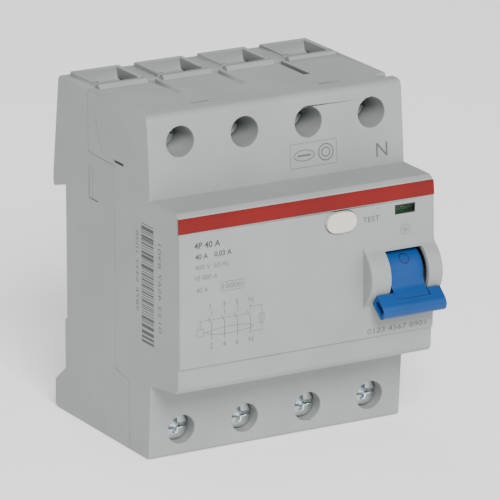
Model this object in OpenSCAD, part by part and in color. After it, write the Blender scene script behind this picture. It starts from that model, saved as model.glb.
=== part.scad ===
// Four-pole residual current device for a 35 mm rail.
// Frame: +X to the right along the rail, -Y out of the front, +Z up.
// Origin: rail seat plane (y = 0), middle of the rail (z = 0), middle of the width (x = 0).

/* [Housing] */
// Number of 17.5 mm modules, one pole in each
poles = 4; // [4:1:4]
// Width of one module
pitch = 17.5; // [17.5:0.1:18]
// Height of the housing above the rail's middle
top_z = 45; // [45:0.25:46]
// Depth of the housing below the rail's middle
bottom_z = -40; // [-41:0.25:-40]
// Distance from the rail seat to the front face
front_y = -58.1; // [-58.5:0.1:-58]
// Thickness of the outer walls
wall = 1.5; // [1.3:0.1:1.6]

/* [Front] */
// Height at which the red stripe starts
stripe_z = 20; // [19.5:0.1:20.4]
// Height of the red stripe
stripe_h = 3.6; // [3:0.1:3.6]
// Width of the oval test button
button_w = 8.2; // [7.5:0.1:8.4]
// Height of the oval test button
button_h = 5; // [4.5:0.1:5.2]
// Width of the indicator window
window_w = 5.6; // [5:0.1:5.8]
// Height of the indicator window
window_h = 2.3; // [2:0.1:2.4]

/* [Toggle] */
// Height of the toggle's pivot
toggle_z = 1.8; // [1.6:0.1:2]
// Angle of the toggle below the horizontal when it is off
toggle_rest = 38; // [34:1:38]
// Width of the toggle's cross bar
toggle_w = 17.6; // [16:0.1:17.6]

/* [Terminals] */
// Height of the upper terminal screws
upper_screw_z = 37.9; // [37.6:0.1:38]
// Height of the lower terminal screws
lower_screw_z = -33.6; // [-33.7:0.1:-33.4]
// Diameter of the screwdriver openings
access_d = 7.4; // [7.2:0.1:7.5]
// How far the lower terminals stand in front of the upper ones
lower_shift = 5.9; // [5.5:0.1:6]

/* [Hidden] */
$fn = 48;
eps = 0.01;                        // overlap that keeps two cuts from sharing a face

half_w = poles * pitch / 2;
inner_x = half_w - wall;
pole_x = [for (i = [0 : poles - 1]) (i - (poles - 1) / 2) * pitch];

// rear outline
hook_tip_y = 5.4;
seat_relief = 1.1;
// seam between base and cover
seam_top_y = -13;
seam_top_z = 29.5;
seam_mid_y = -26;
seam_low_z = -22;
seam_low_y = -33;
// shoulders and nose
shoulder_y = -42.5;
edge_r = 2;                        // rounding of the upper shoulder's front edge
nose_root_y = -44;
nose_top_z = 24.8;
nose_low_z = -21.2;
raise = 0.6;                       // the front panel's step above the lower front
panel_z = -13.3;                   // lower edge of the raised front panel
catch_half = 2.4;                  // half width of a catch between base and cover
catch_y = [-37.2, -35.5];

// chambers
chamber_x = 6.4;                   // half width of a terminal chamber
entry_x = 5.4;                     // half width of a cable entry
entry_rear_y = -1.4;
entry_front_y = -12.8;
funnel_wall = 1.2;
funnel_h = 1.1;
mech_rear_y = -3;
mech_top_z = 27.5;
mech_low_z = -19.6;
chamber_floor_z = 31;

// terminal, measured on the upper row; the lower row is moved forward by lower_shift
bar_y = -13.4;                     // middle plane of the current bar
bar_t = 1.6;
cage_rear_y = -2.7;
cage_front_y = -24;
cage_wall = 1.5;
cage_nut = 2.5;                    // thickness of the cage's threaded wall
cage_half_x = 6;
cage_half_z = 4.2;
web_y = -30.2;                     // rear face of the wall under the screw head
web_t = 1.1;
head_t = 2.5;
head_r = 3.4;
thread_r = 2.5;
run_gap = 0.05;                    // running clearance of pins and threads

// toggle and linkage
pivot = [-54.8, toggle_z];
barrel_r = 5.75;
bulge_r = 7.6;
bulge_fillet = 2.2;                // hollow between the cheeks and the front face
slot_x0 = 20.6;
slot_x1 = 31;
slot_half_z = 6.2;
barrel_x0 = 21.2;
barrel_x1 = 30.4;
toggle_pin_r = 1.5;
crank_r = 7.5;
link_x0 = 21.9;
link_x1 = 23.4;
carrier = [-17, toggle_z];
carrier_open = 15;                 // opening angle of the contacts
carrier_crank_r = 8;
crank_pin = pivot + crank_r * [cos(toggle_rest), sin(toggle_rest)];
carrier_pin = carrier + carrier_crank_r * [-cos(carrier_open / 2), sin(carrier_open / 2)];
frame_x = [18.4, 31.2];            // left faces of the two mechanism plates
frame_t = 0.8;
latch_axis = [-34, 12];
trip_axis = [-38, -11];
lever_pin_r = 1.2;

// front details
button_x = 8.86;
button_z = 16.9;
window_x = 26.8;
window_z = 17.6;

// residual current group
toroid = [-16, -46, 1];
toroid_r = 12;
toroid_hole_r = 6;
toroid_len = 11;

// rail clips
clip_x = 17.5;
clip_half = 4;
clip_gap = 0.15;

// ---------- helpers ----------

// box between two corners, each given as a range
module box(x, y, z) {
    translate([x[0], y[0], z[0]])
        cube([x[1] - x[0], y[1] - y[0], z[1] - z[0]]);
}

// prism with an outline in (y, z), running along X
module prism_x(x, outline) {
    translate([x[0], 0, 0])
        rotate([90, 0, 90])
            linear_extrude(x[1] - x[0])
                polygon(outline);
}

module rod_x(x, y, z, r) {
    translate([x[0], y, z])
        rotate([0, 90, 0])
            cylinder(r = r, h = x[1] - x[0]);
}

module rod_y(x, y, z, r) {
    translate([x, y[0], z])
        rotate([-90, 0, 0])
            cylinder(r = r, h = y[1] - y[0]);
}

module rod_z(x, y, z, r) {
    translate([x, y, z[0]])
        cylinder(r = r, h = z[1] - z[0]);
}

// oval of full width w and height h, running along Y
module oval_y(x, y, z, w, h) {
    translate([x, y[1], z])
        rotate([90, 0, 0])
            linear_extrude(y[1] - y[0])
                for (side = [-1, 1])
                    hull() {
                        translate([side * (w - h) / 2, 0])
                            circle(d = h, $fn = 32);
                        circle(d = h * 1.06, $fn = 32);
                    }
}

// turn about the X axis through a (y, z) point; positive takes +Y towards +Z
module turn_x(point, angle) {
    translate([0, point[0], point[1]])
        rotate([angle, 0, 0])
            translate([0, -point[0], -point[1]])
                children();
}

// closed tube along a list of points, each with a ring of sides corners
function unit(v) = v / norm(v);
function along(p, i) = unit(p[min(i + 1, len(p) - 1)] - p[max(i - 1, 0)]);
function across(d) = unit(cross(d, [1, 0, 0]));
function ring(p, i, r, sides) =
    let (d = along(p, i), a = across(d), b = cross(d, a))
    [for (k = [0 : sides - 1]) p[i] + r * (cos(360 * k / sides) * a + sin(360 * k / sides) * b)];

module tube(p, r, sides) {
    rings = len(p);
    points = [for (i = [0 : rings - 1]) each ring(p, i, r, sides)];
    skin = [for (i = [0 : rings - 2]) for (k = [0 : sides - 1])
        let (n = (k + 1) % sides, a = i * sides, b = a + sides)
        each [[a + k, b + k, b + n], [a + k, b + n, a + n]]];
    first = [[for (k = [0 : sides - 1]) k]];
    last = [[for (k = [0 : sides - 1]) rings * sides - 1 - k]];
    polyhedron(points = points, faces = concat(first, skin, last), convexity = 8);
}

// coil spring along +Z from the origin
coil_steps = 12;
module coil(r, wire_r, turns, length) {
    p = [for (i = [0 : turns * coil_steps])
        let (a = 360 * i / coil_steps)
        [r * cos(a), r * sin(a), wire_r + (length - 2 * wire_r) * i / (turns * coil_steps)]];
    coil_rings(p, r, wire_r);
}

// the rings of a coil stand square to the coil's circle
module coil_rings(p, r, wire_r) {
    sides = 6;
    rings = len(p);
    points = [for (c = p) for (k = [0 : sides - 1])
        let (out = [c[0], c[1], 0] / r)
        c + wire_r * (cos(360 * k / sides) * out + [0, 0, sin(360 * k / sides)])];
    skin = [for (i = [0 : rings - 2]) for (k = [0 : sides - 1])
        let (n = (k + 1) % sides, a = i * sides, b = a + sides)
        each [[a + k, a + n, b + n], [a + k, b + n, b + k]]];
    first = [[for (k = [0 : sides - 1]) sides - 1 - k]];
    last = [[for (k = [0 : sides - 1]) (rings - 1) * sides + k]];
    polyhedron(points = points, faces = concat(first, skin, last), convexity = 8);
}

// ---------- housing ----------

function base_outline() = [
    [seam_top_y, top_z], [1.4, top_z], [2.3, top_z - 0.9], [hook_tip_y, 19.4],
    [hook_tip_y, 17.2], [hook_tip_y - 0.7, 16.5], [hook_tip_y - 1.6, 16.8],
    [-0.2, 17.9], [-seat_relief, 18.1], [-seat_relief, -15.9], [0, -16.2],
    [0, -28.8], [hook_tip_y, -33], [hook_tip_y, bottom_z + 0.7], [hook_tip_y - 0.7, bottom_z],
    [seam_low_y, bottom_z], [seam_low_y, seam_low_z - 1], [seam_mid_y, seam_low_z + 0.5],
    [seam_mid_y, seam_top_z - 0.5], [seam_top_y, seam_top_z]
];

// U-shaped collar that stands on the top round each upper cable entry
module funnel_collar(x) {
    rear = entry_rear_y + funnel_wall;
    side = entry_x + funnel_wall;
    difference() {
        box([x - side, x + side], [entry_front_y + 0.8, rear], [top_z - eps, top_z + funnel_h]);
        box([x - entry_x, x + entry_x], [entry_front_y - 1, entry_rear_y], [top_z - 1, top_z + 2]);
    }
    for (s = [-1, 1])
        rod_z(x + s * (side - 0.7), entry_front_y + 0.8, [top_z - eps, top_z + funnel_h], 0.7);
}

module base_cavities() {
    // mechanism space behind the seam
    box([-inner_x, inner_x], [seam_mid_y - 1, mech_rear_y], [mech_low_z, mech_top_z]);
    for (x = pole_x) {
        // upper terminal chamber, cable entry and the slot for the current bar
        box([x - chamber_x, x + chamber_x], [seam_top_y - 1, -2.3], [seam_top_z, top_z - wall]);
        box([x - entry_x, x + entry_x], [seam_top_y - 1, entry_rear_y], [top_z - 2, top_z + 2]);
        box([x - 4.5, x + 4.5], [bar_y - 1.1, bar_y + 1.1], [mech_top_z - 1, seam_top_z + 1]);
        // lower terminal chamber, cable entry and bar slot
        box([x - chamber_x, x + chamber_x], [seam_low_y - 1, -2.3 - lower_shift],
            [bottom_z + wall, -24.5]);
        box([x - entry_x, x + entry_x],
            [entry_front_y - lower_shift, entry_rear_y - lower_shift],
            [bottom_z - 1, bottom_z + 2]);
        box([x - 4.5, x + 4.5], [bar_y - lower_shift - 1.1, bar_y - lower_shift + 1.1],
            [-25, mech_low_z + 1]);
    }
}

// channel of one rail clip, with the stop that carries the clip's spring
module clip_channel(x) {
    half = clip_half + clip_gap;
    difference() {
        box([x - half, x + half], [-3, hook_tip_y + 1], [bottom_z - 1, -15.4]);
        box([x - 1.5, x + 1.5], [-3 - eps, -0.9], [-35.5, -34]);
    }
}

screw_at = [for (x = [-31.6, 31.6]) for (z = [20.5, -16.5]) [x, z]];

module base_housing() {
    color([0.65, 0.66, 0.65])
        difference() {
            union() {
                difference() {
                    prism_x([-half_w, half_w], base_outline());
                    base_cavities();
                    for (x = [-clip_x, clip_x])
                        clip_channel(x);
                }
                // pad that rests on the rail
                difference() {
                    box([-32, 32], [-seat_relief - eps, 0], [-15, 15.5]);
                    for (x = [-clip_x, clip_x])
                        clip_channel(x);
                }
                for (x = pole_x)
                    funnel_collar(x);
                // posts for the screws that hold the cover
                for (p = screw_at)
                    rod_y(p[0], [seam_mid_y, mech_rear_y + eps], p[1], 2);
            }
            for (p = screw_at) {
                rod_y(p[0], [seam_mid_y - 1, 1], p[1], 1.15);
                rod_y(p[0], [-3.2, 6], p[1], 2.1);
            }
            // blind bearings of the contact carrier
            for (s = [-1, 1])
                rod_x([s > 0 ? inner_x - eps : -inner_x - 0.95,
                       s > 0 ? inner_x + 0.95 : -inner_x + eps],
                      carrier[0], carrier[1], 2 + run_gap);
            side_marks();
        }
}

// shallow moulded lines on the two sides
module side_marks() {
    depth = 0.25;
    for (s = [-1, 1]) {
        x = s > 0 ? [half_w - depth, half_w + 1] : [-half_w - 1, -half_w + depth];
        box(x, [-13.6, -13.2], [18, 26]);
        box(x, [-15.1, -14.8], [18, 26]);
        box(x, [-17.8, -13.2], [17.9, 18.2]);
        prism_x(x, [[-16.6, 38.7], [-16.8, 38.7], [-20.2, 30.7], [-20, 30.7]]);
        // narrow slot over the seam
        box(s > 0 ? [half_w - 1.2, half_w + 1] : [-half_w - 1, -half_w + 1.2], [-30.6, -25.8],
            [29.9, 30.5]);
    }
}

function cover_outline() = concat(
    [[seam_top_y, top_z]],
    [for (a = [0 : 22.5 : 90])
        [shoulder_y + edge_r - edge_r * sin(a), top_z - edge_r + edge_r * cos(a)]],
    [
        [nose_root_y, nose_top_z], [-56, nose_top_z - 0.1], [-57.1, nose_top_z - 0.9],
        [front_y + 0.5, nose_top_z - 1.9], [front_y + 0.2, 20], [front_y, 12], [front_y, -9.7],
        [front_y + 0.15, panel_z], [front_y + 0.15 + raise, panel_z],
        [front_y + 0.3 + raise, -18.4], [-56.2, -19.6], [-43.8, nose_low_z],
        [shoulder_y, bottom_z + 0.4], [shoulder_y + 0.4, bottom_z], [seam_low_y, bottom_z],
        [seam_low_y, seam_low_z - 1], [seam_mid_y, seam_low_z + 0.5],
        [seam_mid_y, seam_top_z - 0.5], [seam_top_y, seam_top_z]
    ]
);

module cover_cavities() {
    // one space behind the nose
    prism_x([-inner_x, inner_x], [
        [seam_mid_y + 1, mech_top_z], [-42.1, mech_top_z], [-42.3, nose_top_z - wall],
        [-55.6, nose_top_z - wall - 0.1], [front_y + wall, 21.6], [front_y + wall, -12.5],
        [front_y + wall + raise, -17.2], [-55.4, -18.1], [seam_mid_y + 1, mech_low_z]
    ]);
    for (x = pole_x) {
        // upper chamber, screwdriver opening and the wall under the screw head
        box([x - chamber_x, x + chamber_x], [web_y, seam_top_y + 1],
            [chamber_floor_z, top_z - wall]);
        box([x - 4.5, x + 4.5], [bar_y - 1.1, seam_top_y + 1], [seam_top_z - 1, chamber_floor_z + 1]);
        rod_y(x, [front_y, web_y - web_t], upper_screw_z, access_d / 2);
        rod_y(x, [web_y - web_t - 1, web_y + 1], upper_screw_z, thread_r + 0.2);
        // the lower one
        box([x - chamber_x, x + chamber_x], [web_y - lower_shift, seam_low_y + 1],
            [bottom_z + wall, -24.5]);
        rod_y(x, [front_y, web_y - web_t - lower_shift], lower_screw_z, access_d / 2 - 0.1);
        rod_y(x, [web_y - web_t - lower_shift - 1, web_y - lower_shift + 1], lower_screw_z,
              thread_r + 0.2);
    }
}

// slots between the poles, catches of the base and the lip in front of each cable entry
module cover_top_cuts() {
    for (x = [-pitch, 0, pitch])
        box([x - 0.9, x + 0.9], [-27.3, seam_top_y + 0.1], [top_z - 5, top_z + 1]);
    for (x = [-pitch, pitch]) {
        box([x - catch_half, x + catch_half], catch_y, [top_z - 0.9, top_z + 1]);
        box([x + catch_half - eps, x + catch_half + 0.8], [catch_y[0], catch_y[0] + 0.8],
            [top_z - 2.5, top_z + 1]);
    }
    // hollow at the right end where a joining clip of the next device takes hold
    prism_x([31, half_w + 1], [[-35, top_z + 0.5], [-35, top_z - 1.1], [-40.4, top_z + 0.5]]);
}

module entry_lip(x) {
    prism_x([x - entry_x - funnel_wall, x + entry_x + funnel_wall], [
        [seam_top_y, top_z - eps], [seam_top_y - 0.2, top_z + funnel_h - 0.1],
        [seam_top_y - 1.5, top_z + funnel_h - 0.1], [seam_top_y - 2, top_z + funnel_h - 0.6],
        [seam_top_y - 2.2, top_z - eps]
    ]);
}

// outline of the cheeks: an arc round the pivot that runs into the front face through two fillets
function bulge_outline() =
    let (
        ahead = pivot[0] - front_y + bulge_fillet,
        rise = sqrt(pow(bulge_r + bulge_fillet, 2) - ahead * ahead),
        lean = atan2(rise, ahead)
    )
    concat(
        [[front_y + 1, pivot[1] + rise]],
        [for (i = [0 : 4])
            [front_y - bulge_fillet, pivot[1] + rise]
                + bulge_fillet * [cos(lean * i / 5), -sin(lean * i / 5)]],
        [for (i = [1 : 17])
            let (a = 180 - lean + 2 * lean * i / 18)
                pivot + bulge_r * [cos(a), sin(a)]],
        [for (i = [4 : -1 : 0])
            [front_y - bulge_fillet, pivot[1] - rise]
                + bulge_fillet * [cos(lean * i / 5), sin(lean * i / 5)]],
        [[front_y + 1, pivot[1] - rise]]
    );

// raised cheeks round the toggle
module toggle_bulge() {
    prism_x([15.2, half_w], bulge_outline());
}

module front_cover() {
    color([0.68, 0.7, 0.7])
        difference() {
            union() {
                difference() {
                    prism_x([-half_w, half_w], cover_outline());
                    cover_cavities();
                    cover_top_cuts();
                }
                for (x = pole_x)
                    entry_lip(x);
                toggle_bulge();
                // posts that take the housing screws
                for (p = screw_at)
                    rod_y(p[0], [-38, seam_mid_y], p[1], 2);
                for (x = [-pitch, pitch])
                    box([x - catch_half - eps, x + catch_half - 0.5],
                        [catch_y[0] - eps, catch_y[1] - 0.5], [top_z - 1, top_z - 0.15]);
            }
            // inside of the cheeks and the toggle's opening
            rod_x([17.2, inner_x], pivot[0], pivot[1], barrel_r + 0.35);
            box([slot_x0, slot_x1], [pivot[0] - 12, pivot[0] + 2],
                [pivot[1] - slot_half_z, pivot[1] + slot_half_z]);
            box([17.2, inner_x], [pivot[0] + 1, -44], [pivot[1] - 8.5, pivot[1] + 8.5]);
            for (p = screw_at)
                rod_y(p[0], [-36, seam_mid_y + 1], p[1], 1);
            // test button, indicator window and stripe seats
            oval_y(button_x, [front_y - 1, front_y + 3], button_z, button_w + 0.3, button_h + 0.3);
            box([window_x - window_w / 2, window_x + window_w / 2], [front_y - 1, front_y + 3],
                [window_z - window_h / 2, window_z + window_h / 2]);
            box([-half_w - 1, half_w + 1], [front_y - 1, front_y + 0.85],
                [stripe_z, stripe_z + stripe_h]);
            side_marks();
        }
}

module front_stripe() {
    color([0.7, 0.12, 0.1])
        prism_x([-half_w, half_w], [
            [front_y + 0.85, stripe_z], [front_y + 0.85, stripe_z + stripe_h],
            [front_y + 0.72, stripe_z + stripe_h], [front_y + 0.4, stripe_z + 2.6],
            [front_y + 0.2, stripe_z]
        ]);
}

module indicator_window() {
    color([0.75, 0.85, 0.8, 0.5])
        box([window_x - window_w / 2, window_x + window_w / 2], [front_y + 0.35, front_y + wall],
            [window_z - window_h / 2, window_z + window_h / 2]);
}

module housing_screws() {
    color([0.75, 0.75, 0.72])
        for (p = screw_at)
            difference() {
                union() {
                    rod_y(p[0], [-3.2, -1.9], p[1], 2);
                    rod_y(p[0], [-35, -3.1], p[1], 1);
                }
                box([p[0] - 2.1, p[0] + 2.1], [-2.6, 0], [p[1] - 0.25, p[1] + 0.25]);
                box([p[0] - 0.25, p[0] + 0.25], [-2.6, 0], [p[1] - 2.1, p[1] + 2.1]);
            }
}

// ---------- terminals ----------

// cross and slot drive, cut into the front of a screw head
module drive_cut(face_y) {
    box([-3.5, 3.5], [face_y - 1, face_y + 0.8], [-0.45, 0.45]);
    box([-1.8, 1.8], [face_y - 1, face_y + 1.6], [-0.55, 0.55]);
    box([-0.55, 0.55], [face_y - 1, face_y + 1.6], [-1.8, 1.8]);
}

module terminal_screw() {
    under = web_y - web_t - run_gap;
    face = under - head_t;
    tip = bar_y - bar_t / 2 - 0.1;
    color([0.78, 0.78, 0.75])
        difference() {
            union() {
                rod_y(0, [face, under], 0, head_r);
                rod_y(0, [under - eps, tip], 0, thread_r);
            }
            drive_cut(face);
        }
}

module terminal_cage() {
    color([0.72, 0.72, 0.7])
        difference() {
            box([-cage_half_x, cage_half_x], [cage_front_y, cage_rear_y], [-cage_half_z, cage_half_z]);
            box([-cage_half_x + cage_wall, cage_half_x - cage_wall],
                [cage_front_y + cage_nut, cage_rear_y - cage_wall],
                [-cage_half_z - 1, cage_half_z + 1]);
            rod_y(0, [cage_front_y - 1, cage_front_y + cage_nut + 1], 0, thread_r + run_gap);
            // teeth that bite into the wire
            for (z = [-2.4, 0, 2.4])
                box([-cage_half_x + cage_wall, cage_half_x - cage_wall],
                    [cage_rear_y - cage_wall - 1, cage_rear_y - cage_wall + 0.35], [z - 0.4, z + 0.4]);
        }
}

module place_upper(i) {
    translate([pole_x[i - 1], 0, upper_screw_z])
        children();
}

module place_lower(i) {
    translate([pole_x[i - 1], -lower_shift, lower_screw_z])
        children();
}

contact_z = 16;                    // height of the contact tips
fixed_face_y = -22.6;              // rear face of the fixed contact tip

module upper_bar(i) {
    x = pole_x[i - 1];
    y = [bar_y - bar_t / 2, bar_y + bar_t / 2];
    front = fixed_face_y - 0.8 - bar_t;
    color([0.72, 0.45, 0.25]) {
        box([x - 4.2, x + 4.2], y, [32, 42.6]);
        box([x - 3, x + 3], y, [22, 32 + eps]);
        box([x - 3, x + 3], [front, y[1]], [22, 22 + bar_t]);
        box([x - 3, x + 3], [front, front + bar_t], [contact_z - 3, 22 + eps]);
    }
    color([0.85, 0.85, 0.85])
        rod_y(x, [front + bar_t - eps, fixed_face_y], contact_z, 2);
}

// the lower bar bends forward and up to the tab that takes the wire from the sensor
module lower_bar(i) {
    x = pole_x[i - 1];
    y = [bar_y - lower_shift - bar_t / 2, bar_y - lower_shift + bar_t / 2];
    color([0.72, 0.45, 0.25]) {
        box([x - 4.2, x + 4.2], y, [-38.2, -27]);
        box([x - 3, x + 3], y, [-27 - eps, -17.4]);
        box([x - 3, x + 3], [-25, y[1]], [-17.4, -17.4 + bar_t]);
    }
}

// ---------- contacts ----------

module closed_to_open() {
    turn_x(carrier, -carrier_open)
        children();
}

moving_face_y = fixed_face_y + 0.2;   // front face of the moving tip when closed
blade_t = 1.2;
blade_y = [moving_face_y + 1, moving_face_y + 1 + blade_t];

module moving_contact(i) {
    x = pole_x[i - 1];
    closed_to_open() {
        color([0.72, 0.45, 0.25])
            difference() {
                box([x - 2.5, x + 2.5], blade_y, [carrier[1] - 4.5, contact_z + 3]);
                rod_y(x, [blade_y[0] - 1, blade_y[1] + 1], contact_z - 6, 0.8);
            }
        color([0.85, 0.85, 0.85])
            rod_y(x, [moving_face_y, blade_y[0] + eps], contact_z, 1.8);
    }
}

module contact_carrier() {
    color([0.2, 0.2, 0.22])
        difference() {
            union() {
                rod_x([-inner_x + 0.2, inner_x - 0.2], carrier[0], carrier[1], 5);
                rod_x([-inner_x - 0.85, inner_x + 0.85], carrier[0], carrier[1], 2);
                // crank with the pin that the link holds
                turn_x(carrier, -carrier_open / 2) {
                    box([19.3, 21.6], [carrier[0] - carrier_crank_r, carrier[0]],
                        [carrier[1] - 2.2, carrier[1] + 2.2]);
                    rod_x([19.3, 21.6], carrier[0] - carrier_crank_r, carrier[1], 2.2);
                    rod_x([21.5, link_x1 + 0.3], carrier[0] - carrier_crank_r, carrier[1], 1);
                }
            }
            // groove that lets the link's slotted end pass
            difference() {
                rod_x([21.6, 23.72], carrier[0], carrier[1], 5.2);
                rod_x([21, 24], carrier[0], carrier[1], 2.9);
            }
            closed_to_open()
                for (x = pole_x)
                    box([x - 2.5, x + 2.5], [blade_y[0] - 3, blade_y[1]],
                        [carrier[1] - 6, carrier[1] + 6]);
        }
}

module arc_plates() {
    color([0.5, 0.5, 0.5])
        for (x = pole_x)
            for (z = [9 : 2.5 : 19])
                box([x - 3.2, x + 3.2], [-10.5, mech_rear_y], [z, z + 0.8]);
}

// ---------- switching mechanism ----------

// frame turned so that the lever points along -Y
module lever_frame() {
    turn_x(pivot, toggle_rest)
        children();
}

module toggle_lever() {
    lever_side = pivot[0];
    link_side = 24;                // the link runs to the left of this plane
    bar_x = barrel_x0 + 4.2 - toggle_w / 2;
    color([0.13, 0.4, 0.65])
        lever_frame()
            difference() {
                union() {
                    rod_x([link_side, barrel_x1], pivot[0], pivot[1], barrel_r);
                    difference() {
                        rod_x([barrel_x0, link_side + eps], pivot[0], pivot[1], barrel_r);
                        box([barrel_x0 - 1, link_side + 1], [lever_side + 4.6, lever_side + 9],
                            [pivot[1] - 9, pivot[1] + 9]);
                    }
                    // neck, its blend into the barrel, and the cross bar
                    prism_x([barrel_x0, barrel_x1], [
                        [lever_side - 1, pivot[1]], [lever_side - 3.3, pivot[1] + 4.5],
                        [lever_side - 5.2, pivot[1] + 3], [lever_side - 6.6, pivot[1] + 2.2],
                        [lever_side - 7.4, pivot[1] + 2.02], [lever_side - 8.6, pivot[1] + 2.02],
                        [lever_side - 10, pivot[1] + 1.83],
                        [lever_side - 10, pivot[1]]
                    ]);
                    box([barrel_x0, barrel_x1], [lever_side - 10, lever_side],
                        [pivot[1] - 1.1, pivot[1] + 1.6]);
                    prism_x([bar_x, bar_x + toggle_w], [
                        [lever_side - 7.7, pivot[1] - 1.6], [lever_side - 7.7, pivot[1] + 1.9],
                        [lever_side - 11.6, pivot[1] + 1.75], [lever_side - 12.8, pivot[1] + 1.1],
                        [lever_side - 13.3, pivot[1]], [lever_side - 13.1, pivot[1] - 1],
                        [lever_side - 12.4, pivot[1] - 1.6]
                    ]);
                    // crank arm with its pin
                    box([link_side, 26.4], [pivot[0], pivot[0] + crank_r],
                        [pivot[1] - 2.2, pivot[1] + 2.2]);
                    rod_x([link_side, 26.4], pivot[0] + crank_r, pivot[1], 2.2);
                    rod_x([link_x0 - 0.3, link_side + 0.5], pivot[0] + crank_r, pivot[1], 1.25);
                }
                rod_x([barrel_x0 - 1, barrel_x1 + 1], pivot[0], pivot[1], toggle_pin_r + run_gap);
                // hollow ends of the cross bar
                for (x = [bar_x - 1, bar_x + toggle_w - 2.5])
                    box([x, x + 3.5], [lever_side - 12.2, lever_side - 8.5],
                        [pivot[1] - 0.8, pivot[1] + 1.1]);
            }
}

module toggle_pin() {
    color([0.8, 0.8, 0.78])
        rod_x([frame_x[0] - 0.6, frame_x[1] + frame_t + 0.6], pivot[0], pivot[1], toggle_pin_r);
}

module toggle_spring() {
    color([0.7, 0.7, 0.68]) {
        translate([19.45, pivot[0], pivot[1]])
            rotate([0, 90, 0])
                coil(2.4, 0.25, 2, 1.4);
        translate([19.7, pivot[0] + 0.5, pivot[1] - 2.4])
            rotate([-90, 0, 0])
                cylinder(r = 0.25, h = 6);
    }
}

// flat link with a round eye on the toggle's crank and a slotted eye on the carrier's pin
module link_rod() {
    reach = norm(crank_pin - carrier_pin);
    tilt = atan2(crank_pin[1] - carrier_pin[1], carrier_pin[0] - crank_pin[0]);
    slot = 2.1;
    color([0.6, 0.6, 0.6])
        turn_x(crank_pin, -tilt)
            difference() {
                union() {
                    rod_x([link_x0, link_x1], crank_pin[0], crank_pin[1], 2.4);
                    box([link_x0, link_x1], [crank_pin[0], crank_pin[0] + reach],
                        [crank_pin[1] - 1.6, crank_pin[1] + 1.6]);
                    box([link_x0, link_x1], [crank_pin[0] + reach - slot, crank_pin[0] + reach],
                        [crank_pin[1] - 2.6, crank_pin[1] + 2.6]);
                    rod_x([link_x0, link_x1], crank_pin[0] + reach, crank_pin[1], 2.6);
                    rod_x([link_x0, link_x1], crank_pin[0] + reach - slot, crank_pin[1], 2.6);
                }
                rod_x([link_x0 - 1, link_x1 + 1], crank_pin[0], crank_pin[1], 1.25 + run_gap);
                for (shift = [0, slot])
                    rod_x([link_x0 - 1, link_x1 + 1], crank_pin[0] + reach - shift, crank_pin[1], 1.5);
                box([link_x0 - 1, link_x1 + 1], [crank_pin[0] + reach - slot, crank_pin[0] + reach],
                    [crank_pin[1] - 1.5, crank_pin[1] + 1.5]);
            }
}

// steel side plate of the mechanism
module frame_plate(x) {
    color([0.7, 0.71, 0.72])
        difference() {
            union() {
                box([x, x + frame_t], [-50, -27.2], [-12.9, 17]);
                box([x, x + frame_t], [pivot[0], -49], [pivot[1] - 3, pivot[1] + 3]);
                rod_x([x, x + frame_t], pivot[0], pivot[1], 3);
            }
            rod_x([x - 1, x + 2], pivot[0], pivot[1], toggle_pin_r);
            rod_x([x - 1, x + 2], latch_axis[0], latch_axis[1], lever_pin_r);
            rod_x([x - 1, x + 2], trip_axis[0], trip_axis[1], lever_pin_r + run_gap);
            for (p = frame_pin_at)
                rod_x([x - 1, x + 2], p[0], p[1], lever_pin_r);
        }
}

frame_pin_at = [[-30, -10.5], [-46, 14]];

module frame_pins() {
    color([0.8, 0.8, 0.78])
        for (p = concat(frame_pin_at, [latch_axis]))
            rod_x([frame_x[0] - 0.4, frame_x[1] + frame_t + 0.4], p[0], p[1], lever_pin_r);
}

module latch_lever() {
    color([0.66, 0.66, 0.66])
        difference() {
            union() {
                rod_x([26, 29], latch_axis[0], latch_axis[1], 2.8);
                box([26, 29], [latch_axis[0] - 1.4, latch_axis[0] + 1.4], [-8.5, latch_axis[1]]);
                box([26, 29], [latch_axis[0] - 2.5, latch_axis[0] + 1.4], [-8.5, -6.4]);
            }
            rod_x([25, 30], latch_axis[0], latch_axis[1], lever_pin_r + run_gap);
        }
}

module trip_lever() {
    color([0.25, 0.25, 0.27]) {
        rod_x([7, frame_x[1] + frame_t + 0.3], trip_axis[0], trip_axis[1], lever_pin_r);
        // tail over the relay's plunger
        box([8, 12], [-46.5, trip_axis[0] + 1], [-8.8, -7.4]);
        box([8, 12], [trip_axis[0] - 1.2, trip_axis[0] + 1.2], [-11, -7.4]);
        // ledge that holds the latch lever
        box([26, 29], [trip_axis[0] - 1.2, trip_axis[0] + 1.2], [-11, -6.6]);
    }
}

module indicator_flag() {
    y = [front_y + wall + 0.25, front_y + wall + 1.25];
    color([0.15, 0.55, 0.2])
        box([window_x - 3.2, window_x + 3.2], y, [window_z - 1.4, window_z + 1.6]);
    color([0.75, 0.12, 0.1])
        box([window_x - 3.2, window_x + 3.2], y, [window_z - 4.6, window_z - 1.4 + eps]);
    color([0.2, 0.2, 0.2])
        box([window_x + 2.2, window_x + 3.2], y, [window_z - 7, window_z - 4.6 + eps]);
}

// ---------- residual current group ----------

module toroid_core() {
    color([0.35, 0.35, 0.4])
        translate([toroid[0], toroid[1] + toroid_len / 2, toroid[2]])
            rotate([90, 0, 0])
                difference() {
                    cylinder(r = toroid_r, h = toroid_len);
                    translate([0, 0, -1])
                        cylinder(r = toroid_hole_r, h = toroid_len + 2);
                }
}

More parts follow.
